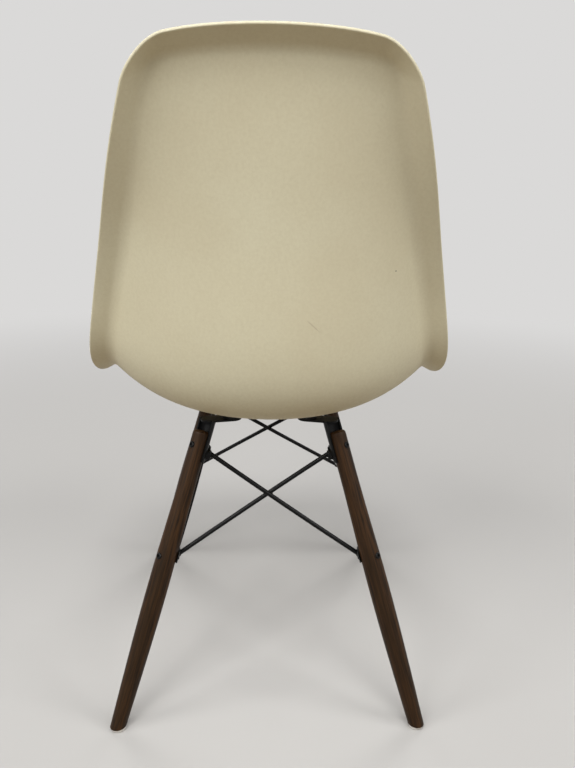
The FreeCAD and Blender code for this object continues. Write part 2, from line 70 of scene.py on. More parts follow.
# Welds: a bead round each wire's end, and a drop where two wires cross
bead_radius = 1.1
bead_swell = 0.16
bead_swells = 7
drop_half_length = 5.0
drop_half_height = 2.1
drop_half_depth = 2.3

# Seat mounts under the shell. The boss has a small chamfer, as high as it says and as wide as a
# share of the radius, and the end of its fillet sinks a little into the shell.
seat_mount_x, seat_mount_y = 50.0, 100.0
mount_plane_height = 380.0
pad_thickness = 3.0
boss_radius = 12.0
boss_fillet = 4.0
boss_chamfer = 0.4
boss_chamfer_share = 0.05
boss_sink = 0.02

# Seat shell. Each station gives the middle line and the side edge of the bucket in side view, as
# a distance behind the base centre and a height over the bracket plates, and the half width. They
# are the CAD part's, but for 0.2 mm less at the front edge, which keeps the rim inside its box.
Station = namedtuple("Station", "mid_y mid_h side_y side_h half_width")
front_edge = Station(mid_y=-282.8, mid_h=12.0, side_y=-262.0, side_h=22.0, half_width=196.0)
crest = Station(mid_y=-238.0, mid_h=46.0, side_y=-212.0, side_h=56.0, half_width=203.0)
mid_seat = Station(mid_y=-90.0, mid_h=31.0, side_y=-95.0, side_h=71.1, half_width=208.1)
low_seat = Station(mid_y=60.0, mid_h=8.0, side_y=12.1, side_h=66.9, half_width=215.3)
hip = Station(mid_y=161.8, mid_h=22.9, side_y=87.1, side_h=93.7, half_width=211.5)
lumbar = Station(mid_y=199.0, mid_h=90.0, side_y=117.8, side_h=160.3, half_width=197.2)
mid_back = Station(mid_y=212.0, mid_h=210.0, side_y=156.5, side_h=251.5, half_width=178.0)
shoulder = Station(mid_y=232.0, mid_h=340.0, side_y=203.8, side_h=339.5, half_width=162.2)
top_edge = Station(mid_y=252.0, mid_h=448.5, side_y=243.0, side_h=432.2, half_width=136.8)
stations = [front_edge, crest, mid_seat, low_seat, hip, lumbar, mid_back, shoulder, top_edge]
shell_thickness = 4.0
wall_steepness = 0.35
front_corner_radius = 90.0
top_corner_radius = 33.6
rim_bulge = 1.5

# The shell's lip: how far the flange's edge lies behind the bowl, its angle to the bowl and the
# radius of the bend. At the sides and the top the bends are softer than the CAD part's.
Lip = namedtuple("Lip", "flare angle bend_radius")
front_lip = Lip(flare=8.0, angle=44.0, bend_radius=7.0)
side_lip = Lip(flare=24.7, angle=72.0, bend_radius=13.0)
top_lip = Lip(flare=18.0, angle=40.0, bend_radius=22.0)
side_lip_from = 0.42
top_lip_from = 0.55

# Marks on the shell's back: a speck of dirt and a scratch, which is turned in radians
speck_centre = (-143.7, 186.8, 583.5)
speck_half_sizes = (1.1, 2.0, 0.9)
scratch_centre = (-48.0, 213.7, 523.3)
scratch_half_sizes = (13.5, 8.0, 0.9)
scratch_turn = (0, -0.76, 0)
scratch_strength = 0.3

# How finely the surfaces are drawn, how much the shell's points gather at the rim and how far
# inside it they end, and the steps of the splines and of the search for the underside
points_across, points_along = 161, 221
rim_rings = 9
side_gathering, end_gathering = 0.75, 0.65
rim_inset_side, rim_inset_end = 0.4, 0.65
spline_steps = 1600
seat_steps = 900
search_rounds = 12
difference_step = 0.5
boss_points_around, fillet_rings = 72, 9
bead_points_along, bead_points_around = 42, 8
drop_points_around, drop_rings = 16, 11

# Studio, in metres and watts
backdrop = "#DAD9D8"
surroundings = "#3A3A3C"
floor_seen = "#B6B4B1"
floor_for_light = "#928574"
floor_radius = 9.0
floor_points_around = 96
fade_from, fade_to = 0.8, 3.0
rear_target, front_target = (0, 0.1, 0.55), (0, 0, 0.5)
rear_lamp_size, front_lamp_size = 1.2, 1.4

# Camera, as fitted to the photograph: focal length and frame in pixels, place in metres from the
# middle of the base, direction of view, and roll in radians
focal_pixels = 715.2
photo_height = 768
sensor_width = 36.0
camera_place = (0.0061, 1.0031, 0.6797)
camera_forward = (-0.0312, -0.9622, -0.2710)
camera_roll = -0.0144

lean_x, lean_y = math.tan(math.radians(splay_sideways)), math.tan(math.radians(splay_lengthways))
rod_bow = rod_radius - weld_overlap
pad_top_height = mount_plane_height + pad_thickness

# The base stands a little behind the middle of the whole chair's depth
front_leg, rear_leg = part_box("leg_front_left"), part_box("leg_rear_left")
base_y = (front_leg[0].y + rear_leg[1].y) / 2 / MM

# Sockets of a colour mix, which Blender tells apart by number only
SHARE, FIRST, SECOND, MIXED = 0, 6, 7, 2


def linear(code):
    """Linear RGBA of an sRGB hex colour."""
    parts = [int(code[k:k + 2], 16) / 255 for k in (1, 3, 5)]
    return [p / 12.92 if p <= 0.04045 else ((p + 0.055) / 1.055) ** 2.4 for p in parts] + [1.0]


def pattern_scale(size):
    """Scale of a noise whose lumps are a given size in millimetres."""
    return 1 / (size * MM)


def add_object(name, data):
    """Object in the scene that holds a mesh, a lamp or a camera."""
    made = bpy.data.objects.new(name, data)
    bpy.context.scene.collection.objects.link(made)
    return made


def piece_from(name, points, faces, slot):
    """Smooth-shaded piece from an array of points in millimetres and a list of faces."""
    mesh = bpy.data.meshes.new(name)
    mesh.from_pydata((points * MM).tolist(), [], faces)
    mesh.polygons.foreach_set("use_smooth", np.ones(len(mesh.polygons), bool))
    mesh.update()
    piece = add_object(name, mesh)
    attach(piece, "root")
    return piece


def joined(shapes):
    """Points and faces of several shapes in one, each shape being its points and its arrays of faces."""
    starts = np.cumsum([0] + [len(points) for points, _ in shapes])
    faces = []
    for (_, arrays), start in zip(shapes, starts):
        for array in arrays:
            faces += (array + start).tolist()
    return np.concatenate([points for points, _ in shapes]), faces


def grid_faces(count_u, count_v, wrap_u=False, wrap_v=False):
    """Quads between neighbouring points of a grid that is stored row by row, v running fastest."""
    u = np.arange(count_u if wrap_u else count_u - 1)
    v = np.arange(count_v if wrap_v else count_v - 1)
    u, v = (a.ravel() for a in np.meshgrid(u, v, indexing="ij"))
    next_u, next_v = (u + 1) % count_u, (v + 1) % count_v
    here, there = u * count_v, next_u * count_v
    return np.stack([here + v, there + v, there + next_v, here + next_v], 1)


def round_turn(count):
    """Angles of a number of points spread evenly over a full turn."""
    return np.linspace(0, 2 * math.pi, count + 1)[:-1]


def spline_through(values):
    """Function of a parameter for the smooth curve through values at 0, 1, 2 and so on.

    Neighbouring cubics share slope and curvature at each value. The slope at either end is that
    of the one cubic through the last four values there.
    """
    values = np.asarray(values, float).reshape(len(values), -1)
    count = len(values)
    system = np.eye(count)
    known = np.zeros_like(values)
    end_slope = np.array([-11 / 6, 3.0, -1.5, 1 / 3])
    known[0] = end_slope @ values[:4]
    known[-1] = -end_slope @ values[:-5:-1]
    for k in range(1, count - 1):
        system[k, k - 1:k + 2] = 1, 4, 1
        known[k] = 3 * (values[k + 1] - values[k - 1])
    slopes = np.linalg.solve(system, known)

    def at(parameter):
        k = np.clip(np.floor(parameter).astype(int), 0, count - 2)
        t = (parameter - k)[..., None]
        return ((1 + 2 * t) * (1 - t) ** 2 * values[k] + t * (1 - t) ** 2 * slopes[k]
                + t * t * (3 - 2 * t) * values[k + 1] - t * t * (1 - t) * slopes[k + 1])
    return at


middle_at = spline_through([(s.mid_y, s.mid_h) for s in stations])
side_at = spline_through([(s.side_y, s.side_h) for s in stations])
half_width_at = spline_through([s.half_width for s in stations])
fine_steps = np.linspace(0, len(stations) - 1, spline_steps + 1)
fine_points = middle_at(fine_steps)
fine_lengths = np.concatenate([[0.0], np.cumsum(np.hypot(*np.diff(fine_points, axis=0).T))])
shell_length = fine_lengths[-1]


def parameter_at(along):
    """Parameter of the splines at a distance along the middle line from the front edge."""
    return np.interp(along, fine_lengths, fine_steps)


def bowl(across, along):
    """Bowl without its lip.

    At a distance along the middle line, the surface rises from the middle line to the side edge
    with the distance across over the half width: mostly with its square, and for the share that
    is the wall's steepness with its fourth power.
    """
    t = parameter_at(along)
    q = across / half_width_at(t)[..., 0]
    rise = ((1 - wall_steepness) * q ** 2 + wall_steepness * q ** 4)[..., None]
    line = middle_at(t) + (side_at(t) - middle_at(t)) * rise
    return np.stack([across, line[..., 0] + base_y, line[..., 1] + mount_plane_height], -1)


def surface_normal(form, across, along):
    """Unit normal of a surface function on the sitter's side, from differences of a small step."""
    low = np.maximum(along - difference_step, 0)
    high = np.minimum(along + difference_step, shell_length)
    way_across = form(across + difference_step, along) - form(across - difference_step, along)
    normal = np.cross(way_across, form(across, high) - form(across, low))
    return normal / np.linalg.norm(normal, axis=-1, keepdims=True)


def distance_to_rim(across, along):
    """Distance in from the rim, which is a rectangle with round corners laid over the bowl."""
    half_width = half_width_at(parameter_at(along))[..., 0]
    at_top = along > shell_length / 2
    radius = np.where(at_top, top_corner_radius, front_corner_radius)
    to_end = np.where(at_top, shell_length - along, along)
    past_x, past_y = np.abs(across) - half_width + radius, radius - to_end
    in_corner = (past_x > 0) & (past_y > 0)
    to_edge = np.minimum(half_width - np.abs(across), to_end)
    return np.where(in_corner, radius - np.hypot(past_x, past_y), to_edge)


def eased(part):
    """Smooth step from 0 to 1."""
    part = np.clip(part, 0, 1)
    return part * part * (3 - 2 * part)


def lip_depth(across, along):
    """How far the lip lies behind the bowl.

    Across the rim the lip is an arc of the bend's radius, and then a straight flange at the lip's
    angle that ends one flare behind the bowl. Flare, angle and radius go smoothly from their front
    values to their side values, and from there to their top values.
    """
    part = along / shell_length
    to_side = eased(part / side_lip_from)
    to_top = eased((part - top_lip_from) / (1 - top_lip_from))
    flare, angle, radius = [front + (side - front) * to_side + (top - side) * to_top
                            for front, side, top in zip(front_lip, side_lip, top_lip)]
    angle = np.radians(angle)
    bend_width, bend_depth = radius * np.sin(angle), radius * (1 - np.cos(angle))
    width = bend_width + (flare - bend_depth) / np.tan(angle)
    past = np.maximum(width - distance_to_rim(across, along), 0)
    arc = radius - np.sqrt(np.maximum(radius ** 2 - past ** 2, 0))
    return np.where(past < bend_width, arc, bend_depth + (past - bend_width) * np.tan(angle))


def sitting_side(across, along):
    """The bowl, moved away from the sitter along its normal by the depth of the lip."""
    move = surface_normal(bowl, across, along) * lip_depth(across, along)[..., None]
    return bowl(across, along) - move


def under_side(across, along):
    """The sitter's side moved back by the thickness along its normal."""
    return sitting_side(across, along) - surface_normal(sitting_side, across, along) * shell_thickness


def shell_places():
    """Grid of places (across, along) whose outermost rows and columns follow the rim round its corners.

    A column keeps its share u of the half width. Its distance along goes from its own spread on
    the middle line to the rim's distance at the side, weighted by u squared. Both spreads gather
    towards the rim, across by a sine and along by a cosine. The side of the rim is spread over
    its own length, which takes in a quarter circle at either end. The grid ends a little inside
    the rim, because the half-round edge goes on from there.
    """
    even = np.linspace(-1, 1, points_across)
    u = even + side_gathering * (np.sin(even * math.pi / 2) - even)
    even = np.linspace(0, 1, points_along)
    v = even + end_gathering * ((1 - np.cos(math.pi * even)) / 2 - even)
    side_length = shell_length + (math.pi / 2 - 1) * (front_corner_radius + top_corner_radius)
    front_part = front_corner_radius * math.pi / 2 / side_length
    top_part = top_corner_radius * math.pi / 2 / side_length
    front_turn = np.minimum(v / front_part, 1) * math.pi / 2
    top_turn = np.minimum((1 - v) / top_part, 1) * math.pi / 2
    edge = front_corner_radius + (v - front_part) * side_length
    edge = np.where(v < front_part, front_corner_radius * (1 - np.cos(front_turn)), edge)
    edge = np.where(v > 1 - top_part, shell_length - top_corner_radius * (1 - np.cos(top_turn)), edge)
    tuck = front_corner_radius * (1 - np.sin(front_turn)) + top_corner_radius * (1 - np.sin(top_turn))
    half = half_width_at(parameter_at(edge))[:, 0] - tuck - rim_inset_side
    u = u[:, None]
    along = (1 - u * u) * v * shell_length + u * u * edge
    return u * half[None], rim_inset_end + along * (1 - 2 * rim_inset_end / shell_length)


def border(count_u, count_v):
    """Indices of a grid's outermost points, in order round it."""
    index = np.arange(count_u * count_v).reshape(count_u, count_v)
    return np.concatenate([index[:-1, 0], index[-1, :-1], index[:0:-1, -1], index[0, :0:-1]])


def shell_shape():
    """Both sides of the shell and a half-round rim between them.

    A rim point is the middle of the thickness plus the normal times half the thickness times the
    cosine of the turn, plus the outward way times the bulge times its sine.
    """
    across, along = shell_places()
    top = sitting_side(across, along)
    normal = surface_normal(sitting_side, across, along)
    low = top - normal * shell_thickness
    ring = border(points_across, points_along)
    loop, way = top.reshape(-1, 3)[ring], normal.reshape(-1, 3)[ring]
    outward = np.cross(np.roll(loop, -1, 0) - np.roll(loop, 1, 0), way)
    outward /= np.linalg.norm(outward, axis=1, keepdims=True)
    turns = np.linspace(0, math.pi, rim_rings + 2)[1:-1, None, None]
    half = shell_thickness / 2
    rim = loop - way * half + way * half * np.cos(turns) + outward * rim_bulge * np.sin(turns)
    points = np.concatenate([top.reshape(-1, 3), low.reshape(-1, 3), rim.reshape(-1, 3)])
    count = points_across * points_along
    rim_rows = 2 * count + np.arange(rim_rings * len(ring)).reshape(rim_rings, -1)
    rows = np.concatenate([ring[None], rim_rows, ring[None] + count])
    here, there = rows[:-1], rows[1:]
    strips = np.stack([here, there, np.roll(there, -1, 1), np.roll(here, -1, 1)], -1).reshape(-1, 4)
    sides = grid_faces(points_across, points_along)
    return points, [sides, sides[:, ::-1] + count, strips]


def under_height(x, y):
    """Height of the shell's underside over a place in plan, found by stepping to it."""
    across = x
    along = np.interp(y - base_y, fine_points[:seat_steps, 0], fine_lengths[:seat_steps])
    for _ in range(search_rounds):
        at = under_side(across, along)
        across = across + (x - at[..., 0])
        along = along + (y - at[..., 1])
    return at[..., 2]


def boss_shape(side, end):
    """Round boss under the seat: a straight wall, then a fillet that runs out on the underside.

    In the fillet the radius grows by the fillet times one minus the cosine of the turn, and the
    height stays below the underside by the fillet times one minus the sine of the turn.
    """
    around = round_turn(boss_points_around)[:, None]
    turn = np.linspace(0, math.pi / 2, fillet_rings)
    middle_x, middle_y = side * seat_mount_x, end * seat_mount_y + base_y
    radius = boss_radius + boss_fillet * (1 - np.cos(turn))
    x, y = middle_x + radius * np.cos(around), middle_y + radius * np.sin(around)
    z = under_height(x, y) - boss_fillet * (1 - np.sin(turn)) + boss_sink
    wall = np.stack([x, y, z], -1)
    foot = wall[:, :1].copy()
    foot[..., 2] = pad_top_height
    face = foot + (np.array([middle_x, middle_y, pad_top_height]) - foot) * boss_chamfer_share
    chamfer_top = foot + np.array([0, 0, boss_chamfer])
    points = np.concatenate([face, chamfer_top, wall], 1)
    rings = points.shape[1]
    cap = np.arange(boss_points_around)[None, ::-1] * rings
    return points.reshape(-1, 3), [grid_faces(boss_points_around, rings, wrap_u=True), cap]


def make_shell():
    """The moulded shell and its four bosses, in one piece."""
    shapes = [shell_shape()] + [boss_shape(side, end) for side, end in corner_names]
    piece = piece_from("moulded_shell", *joined(shapes), "shell_plastic")
    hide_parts("seat_shell")
    return piece


def brace_end(side, end, lug, along_x):
    """Middle of a wire's end face on its lug, one reach in from the leg's axis and one inset across."""
    x, y = foot_x - lean_x * lug.height, foot_y - lean_y * lug.height
    x, y = (x - lug.reach, y - rod_inset) if along_x else (x - rod_inset, y - lug.reach)
    return np.array([side * x, end * y + base_y, lug.height])


def wires():
    """Each of the eight wires: its lower end, upper end, bow at the middle and lugs' normal."""
    for along_x in (True, False):
        for fixed in (1, -1):
            for rising in (1, -1):
                low_corner = (-rising, fixed) if along_x else (fixed, -rising)
                high_corner = (rising, fixed) if along_x else (fixed, rising)
                low = brace_end(*low_corner, lower_lug, along_x)
                high = brace_end(*high_corner, upper_lug, along_x)
                bow = np.array([0, rising, 0] if along_x else [rising, 0, 0]) * rod_bow
                yield low, high, bow, np.array([1.0, 0, 0] if along_x else [0, 1.0, 0])


def wire_point(low, high, bow, share):
    """Point on a wire's middle line: the straight run plus the bow times one minus a square.

    The square is of the distance from the middle over half the length that the bow is drawn on,
    which goes on past each lug face by the spare end.
    """
    half = np.linalg.norm(high - low) / 2
    off = (share - 0.5) * 2 * half / (half + rod_end_spare)
    return low + (high - low) * share + bow * (1 - off ** 2)


def weld_bead(centre, wire_way, face_way):
    """Ring of weld where a wire meets the flat face of a lug.

    Its middle line is the wire's section with the face: an ellipse of the wire's radius one way,
    and that over the cosine of the wire's slant the other way. Round the line the bead is a circle
    whose radius swells seven times in a turn, as a hand-laid bead does.
    """
    turn = round_turn(bead_points_along)[:, None, None]
    roll = round_turn(bead_points_around)[:, None]
    slant = wire_way @ face_way
    long_way = wire_way - face_way * slant
    long_way /= np.linalg.norm(long_way)
    short_way = np.cross(face_way, long_way)
    out = long_way * np.cos(turn) + short_way * np.sin(turn)
    line = long_way * np.cos(turn) / abs(slant) + short_way * np.sin(turn)
    radius = bead_radius * (1 + bead_swell * np.cos(bead_swells * turn))
    points = centre + line * rod_radius + radius * (out * np.cos(roll) + face_way * np.sin(roll))
    faces = grid_faces(bead_points_along, bead_points_around, wrap_u=True, wrap_v=True)
    return points.reshape(-1, 3), [faces]


def weld_drop(centre, long_way):
    """Drop of weld between two wires that touch: an ellipsoid, longest towards the sharp corners."""
    turn = round_turn(drop_points_around)[:, None, None]
    rise = np.linspace(0, math.pi, drop_rings)[:, None]
    up = np.array([0, 0, 1.0])
    through = np.cross(long_way, up)
    ring = up * drop_half_height * np.cos(turn) + through * drop_half_depth * np.sin(turn)
    points = centre + long_way * drop_half_length * np.cos(rise) + ring * np.sin(rise)
    return points.reshape(-1, 3), [grid_faces(drop_points_around, drop_rings, wrap_u=True)]


def make_welds():
    """All welds of the wire braces in one piece: a bead at each end and a drop at each crossing.

    Two wires cross over the middle of the base, so the drop lies at the share of a wire's run
    where the wire gets there.
    """
    shapes = []
    for low, high, bow, face_way in wires():
        way = (high - low) / np.linalg.norm(high - low)
        shapes += [weld_bead(wire_point(low, high, bow, share), way, face_way) for share in (0, 1)]
        if bow.sum() > 0:
            axis = face_way.argmax()
            share = ((0, base_y)[axis] - low[axis]) / (high - low)[axis]
            shapes.append(weld_drop(low + (high - low) * share, face_way))
    return piece_from("brace_welds", *joined(shapes), "black_wire")


def new_material(name):
    """New material, its node tree and its shader."""
    material = bpy.data.materials.new(name)
    material.use_nodes = True
    tree = material.node_tree
    return material, tree, tree.nodes["Principled BSDF"]


def fill_socket(tree, socket, value):
    """Links the socket to what feeds it, or sets its value."""
    if isinstance(value, bpy.types.NodeSocket):
        tree.links.new(value, socket)
    else:
        socket.default_value = value


def add_node(tree, kind, inputs=None, **settings):
    """Adds one node: settings are its properties, inputs the values of its sockets or what feeds them."""
    made = tree.nodes.new(kind)
    for name, value in settings.items():
        setattr(made, name, value)
    for name, value in (inputs or {}).items():
        fill_socket(tree, made.inputs[name], value)
    return made


def set_shader(tree, shader, **values):
    """Values or feeding sockets for the shader's own sockets, underscores standing for spaces."""
    for name, value in values.items():
        fill_socket(tree, shader.inputs[name.replace("_", " ")], value)


def give(piece, material):
    """Makes the material the piece's only one."""
    piece.data.materials.clear()
    piece.data.materials.append(material)


def mark(tree, place, centre, half_sizes, turn=(0, 0, 0)):
    """Share of a small ellipsoid mark, sizes in millimetres: 1 in its inner half, 0 at its edge."""
    local = add_node(tree, "ShaderNodeMapping",
                     {"Vector": place, "Location": Vector(centre) * MM, "Rotation": turn,
                      "Scale": Vector(half_sizes) * MM}, vector_type="TEXTURE")
    away = add_node(tree, "ShaderNodeVectorMath", {0: local.outputs[0]}, operation="LENGTH")
    return add_node(tree, "ShaderNodeMapRange",
                    {"Value": away.outputs["Value"], "From Min": 1.0, "From Max": 0.5}).outputs[0]


def moulded_polypropylene():
    """Cream polypropylene, moulded against a finely spark-eroded tool: matt, with a faint even grain
    and hardly any gloss, a little yellowing that shifts slowly over the surface, one dark speck and
    one faint scratch on the back."""
    material, tree, shader = new_material("moulded_polypropylene")
    place = add_node(tree, "ShaderNodeTexCoord").outputs["Object"]
    # Real erosion grain is about 0.3 mm. It is drawn at 1.3 mm so that it shows in the render.
    grain = add_node(tree, "ShaderNodeTexNoise",
                     {"Vector": place, "Scale": pattern_scale(1.3), "Detail": 2.0, "Roughness": 0.6})
    # Shallow unevenness of the grain, which holds a little grime
    pits = add_node(tree, "ShaderNodeTexNoise",
                    {"Vector": place, "Scale": pattern_scale(3.5), "Detail": 3.0, "Roughness": 0.55})
    # Yellowing, in patches of a hand's size
    ageing = add_node(tree, "ShaderNodeTexNoise",
                      {"Vector": place, "Scale": pattern_scale(165), "Detail": 2.0, "Roughness": 0.5})
    aged = add_node(tree, "ShaderNodeMapRange",
                    {"Value": ageing.outputs[0], "From Min": 0.35, "From Max": 0.65})
    tone = add_node(tree, "ShaderNodeMix",
                    {SHARE: aged.outputs[0], FIRST: linear("#D6D1B6"), SECOND: linear("#D0C9AD")},
                    data_type="RGBA")
    grime = add_node(tree, "ShaderNodeMapRange",
                     {"Value": pits.outputs[0], "From Min": 0.35, "From Max": 0.75,
                      "To Min": 0.0, "To Max": 0.2})
    mottled = add_node(tree, "ShaderNodeMix",
                       {SHARE: grime.outputs[0], FIRST: tone.outputs[MIXED], SECOND: linear("#B7AC8C")},
                       data_type="RGBA")
    scratch = mark(tree, place, scratch_centre, scratch_half_sizes, scratch_turn)
    faint = add_node(tree, "ShaderNodeMath", {0: scratch, 1: scratch_strength}, operation="MULTIPLY")
    scratched = add_node(tree, "ShaderNodeMix",
                         {SHARE: faint.outputs[0], FIRST: mottled.outputs[MIXED],
                          SECOND: linear("#8C7658")}, data_type="RGBA")
    speck = mark(tree, place, speck_centre, speck_half_sizes)
    colour = add_node(tree, "ShaderNodeMix",
                      {SHARE: speck, FIRST: scratched.outputs[MIXED], SECOND: linear("#30261A")},
                      data_type="RGBA")
    rough = add_node(tree, "ShaderNodeMapRange",
                     {"Value": pits.outputs[0], "From Min": 0.3, "From Max": 0.7,
                      "To Min": 0.5, "To Max": 0.62})
    fine = add_node(tree, "ShaderNodeBump",
                    {"Height": grain.outputs[0], "Strength": 0.35, "Distance": 0.2 * MM})
    coarse = add_node(tree, "ShaderNodeBump",
                      {"Height": pits.outputs[0], "Strength": 0.35, "Distance": 0.4 * MM,
                       "Normal": fine.outputs[0]})
    set_shader(tree, shader, Base_Color=colour.outputs[MIXED], Roughness=rough.outputs[0], IOR=1.49,
               Normal=coarse.outputs[0])
    return material


def stained_maple(side, end):
    """Turned maple with a dark walnut stain and a thin matt lacquer: straight grain up the leg in warm
    brown streaks, darker fine pores, and a weak soft highlight."""
    material, tree, shader = new_material("stained_maple_" + corner_names[side, end])
    place = add_node(tree, "ShaderNodeTexCoord").outputs["Object"]
    # The mapping turns the leg's axis to local Z, so that the patterns can be stretched along it.
    axis = Vector((-side * lean_x, -end * lean_y, 1)).normalized()
    turn = Vector((0, 0, 1)).rotation_difference(axis).inverted().to_euler()
    foot = Vector((side * foot_x, end * foot_y + base_y, 0)) * MM
    foot.rotate(turn)
    turned = add_node(tree, "ShaderNodeMapping", {"Vector": place, "Rotation": turn, "Location": -foot})
    # Grain runs about twenty times as far up the leg as across it
    stretch = add_node(tree, "ShaderNodeMapping", {"Vector": turned.outputs[0], "Scale": (1.0, 1.0, 0.045)})
    # Growth rings about 2.5 mm apart, cut nearly along by the turning, give long streaks
    streaks = add_node(tree, "ShaderNodeTexNoise",
                       {"Vector": stretch.outputs[0], "Scale": pattern_scale(2.5), "Detail": 4.0,
                        "Roughness": 0.6, "Distortion": 0.4})
    # Bands of early and late wood, about 11 mm apart
    figure = add_node(tree, "ShaderNodeTexNoise",
                      {"Vector": stretch.outputs[0], "Scale": pattern_scale(11), "Detail": 2.0,
                       "Roughness": 0.5})
    # Pores of maple are under 0.1 mm wide. They are drawn at 0.7 mm so that they show.
    pores = add_node(tree, "ShaderNodeTexNoise",
                     {"Vector": stretch.outputs[0], "Scale": pattern_scale(0.7), "Detail": 1.0,
                      "Roughness": 0.5})
    streak = add_node(tree, "ShaderNodeMapRange",
                      {"Value": streaks.outputs[0], "From Min": 0.36, "From Max": 0.64})
    tone = add_node(tree, "ShaderNodeMix",
                    {SHARE: streak.outputs[0], FIRST: linear("#170D05"), SECOND: linear("#432C17")},
                    data_type="RGBA")
    band = add_node(tree, "ShaderNodeMapRange",
                    {"Value": figure.outputs[0], "From Min": 0.35, "From Max": 0.65,
                     "To Min": 0.0, "To Max": 0.6})
    colour = add_node(tree, "ShaderNodeMix",
                      {SHARE: band.outputs[0], FIRST: tone.outputs[MIXED], SECOND: linear("#221608")},
                      data_type="RGBA")
    rough = add_node(tree, "ShaderNodeMapRange",
                     {"Value": streaks.outputs[0], "From Min": 0.3, "From Max": 0.7,
                      "To Min": 0.4, "To Max": 0.54})
    bump = add_node(tree, "ShaderNodeBump",
                    {"Height": pores.outputs[0], "Strength": 0.4, "Distance": 0.2 * MM})
    set_shader(tree, shader, Base_Color=colour.outputs[MIXED], Roughness=rough.outputs[0], IOR=1.5,
               Specular_IOR_Level=0.15, Normal=bump.outputs[0])
    return material


def coated_steel(name, code, worn_code, roughness, peel_size):
    """Black powder coating on steel: a deep black with a narrow satin highlight, and the slight orange
    peel of the baked powder."""
    material, tree, shader = new_material(name)
    place = add_node(tree, "ShaderNodeTexCoord").outputs["Object"]
    peel = add_node(tree, "ShaderNodeTexNoise",
                    {"Vector": place, "Scale": pattern_scale(peel_size), "Detail": 2.0})
    # Wear, in patches of a fingertip's size
    wear = add_node(tree, "ShaderNodeTexNoise", {"Vector": place, "Scale": pattern_scale(17), "Detail": 3.0})
    rough = add_node(tree, "ShaderNodeMapRange",
                     {"Value": wear.outputs[0], "From Min": 0.3, "From Max": 0.7,
                      "To Min": roughness, "To Max": roughness + 0.12})
    tone = add_node(tree, "ShaderNodeMix",
                    {SHARE: wear.outputs[0], FIRST: linear(code), SECOND: linear(worn_code)},
                    data_type="RGBA")
    bump = add_node(tree, "ShaderNodeBump",
                    {"Height": peel.outputs[0], "Strength": 0.25, "Distance": 0.2 * MM})
    set_shader(tree, shader, Base_Color=tone.outputs[MIXED], Roughness=rough.outputs[0], IOR=1.5,
               Specular_IOR_Level=0.14, Normal=bump.outputs[0])
    return material


def plain_finish(name, code, second_code, roughness, metallic, mottle_size, strength=0.2):
    """Finish of a small part: an even tone with a faint mottle and a fine bump of the mottle's size."""
    material, tree, shader = new_material(name)
    place = add_node(tree, "ShaderNodeTexCoord").outputs["Object"]
    mottle = add_node(tree, "ShaderNodeTexNoise",
                      {"Vector": place, "Scale": pattern_scale(mottle_size), "Detail": 3.0})
    tone = add_node(tree, "ShaderNodeMix",
                    {SHARE: mottle.outputs[0], FIRST: linear(code), SECOND: linear(second_code)},
                    data_type="RGBA")
    rough = add_node(tree, "ShaderNodeMapRange",
                     {"Value": mottle.outputs[0], "From Min": 0.3, "From Max": 0.7,
                      "To Min": roughness, "To Max": roughness + 0.1})
    bump = add_node(tree, "ShaderNodeBump",
                    {"Height": mottle.outputs[0], "Strength": strength, "Distance": 0.1 * MM})
    set_shader(tree, shader, Base_Color=tone.outputs[MIXED], Roughness=rough.outputs[0],
               Metallic=metallic, Normal=bump.outputs[0])
    return material


def moulded_rubber():
    """Black rubber, press moulded: dull, and dark grey rather than black."""
    return plain_finish("moulded_rubber", "#141414", "#1C1B1A", roughness=0.8, metallic=0.0,
                        mottle_size=0.8, strength=0.5)


def black_zinc():
    """Zinc plating passivated black on pressed and turned steel: a dark metal with a soft glint."""
    return plain_finish("black_zinc", "#111110", "#1B1A19", roughness=0.32, metallic=0.7, mottle_size=1.1)


def white_nylon():
    """Injection moulded nylon: white, smooth and slightly glossy."""
    return plain_finish("white_nylon", "#E9E8E4", "#DFDDD7", roughness=0.38, metallic=0.0, mottle_size=2.0)


def turned_brass():
    """Turned brass: a warm yellow metal with a clear glint."""
    return plain_finish("turned_brass", "#B8924A", "#A5813E", roughness=0.3, metallic=1.0, mottle_size=1.1)


def bright_nail_steel():
    """Drawn steel wire with a pressed head: a pale grey metal."""
    return plain_finish("bright_nail_steel", "#A9A9A8", "#8F8F8E", roughness=0.35, metallic=1.0,
                        mottle_size=1.1)


def finish_all(shell, welds, nodes):
    """Gives every piece its material. Only the legs have one each, because the grain follows the leg."""
    give(shell, moulded_polypropylene())
    bracket_black = coated_steel("powder_coated_steel", "#070707", "#121211", roughness=0.36, peel_size=0.7)
    wire_black = coated_steel("powder_coated_wire", "#060606", "#0D0D0D", roughness=0.2, peel_size=0.55)
    rubber, bolt_black, nylon = moulded_rubber(), black_zinc(), white_nylon()
    give(welds, wire_black)
    for (side, end), name in corner_names.items():
        give(nodes["leg_" + name], stained_maple(side, end))
        give(nodes["bracket_" + name], bracket_black)
        give(nodes["saddle_" + name], bracket_black)
        give(nodes["rubber_pad_" + name], rubber)
        give(nodes["foot_glide_" + name], nylon)
    for name, node in nodes.items():
        if name.startswith("brace_"):
            give(node, wire_black)
    for name in ("upper_bolts", "upper_nuts", "lower_bolts", "seat_screws"):
        give(nodes[name], bolt_black)
    give(nodes["threaded_inserts"], turned_brass())
    give(nodes["glide_nails"], bright_nail_steel())


def seen_directly(tree):
    """Output that is 1 for rays from the camera, a glossy surface or a clear one, and 0 for light."""
    rays = add_node(tree, "ShaderNodeLightPath").outputs
    either = add_node(tree, "ShaderNodeMath", {0: rays["Is Camera Ray"], 1: rays["Is Glossy Ray"]})
    return add_node(tree, "ShaderNodeMath", {0: either.outputs[0], 1: rays["Is Transmission Ray"]}).outputs[0]


